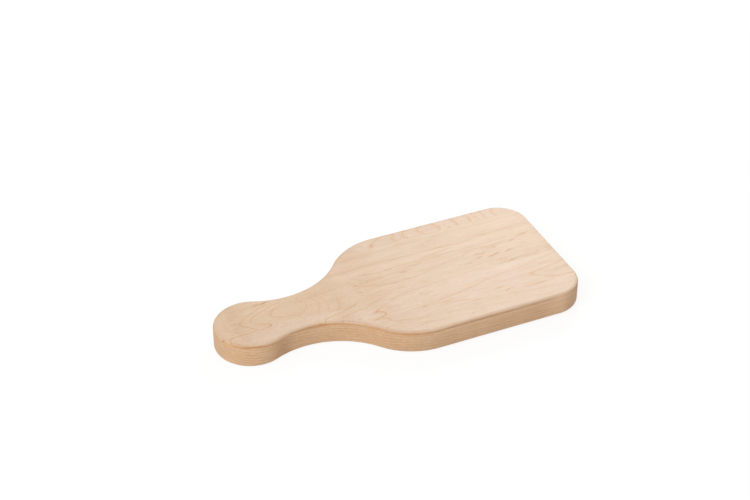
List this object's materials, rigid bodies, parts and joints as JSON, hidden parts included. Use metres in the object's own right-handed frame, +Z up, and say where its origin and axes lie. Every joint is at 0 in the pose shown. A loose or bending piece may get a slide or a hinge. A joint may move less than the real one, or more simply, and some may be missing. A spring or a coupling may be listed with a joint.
{
  "type": "paddle serving board",
  "caption": "Paddle-shaped maple serving board with a round-knobbed handle, edge-glued from staves and rounded over along its edges.",
  "frame": {"origin": "middle of the underside, on the table", "axes": "+X along the board and its grain, from the knob of the handle to the square end; +Y across the board to the far side; +Z up out of the serving face"},
  "size_m": [0.2794, 0.127, 0.0191],
  "materials": {
    "pink_maple": "fine-sanded, light food-safe oil, satin",
    "tan_maple": "fine-sanded, light food-safe oil, satin",
    "dried_glue": "dried wood glue, sanded flush"
  },
  "bodies": {
    "root": {"near_stave": "pink_maple", "near_glue_line": "dried_glue", "middle_stave": "tan_maple", "far_glue_line": "dried_glue", "far_stave": "pink_maple"}
  },
  "joints": []
}
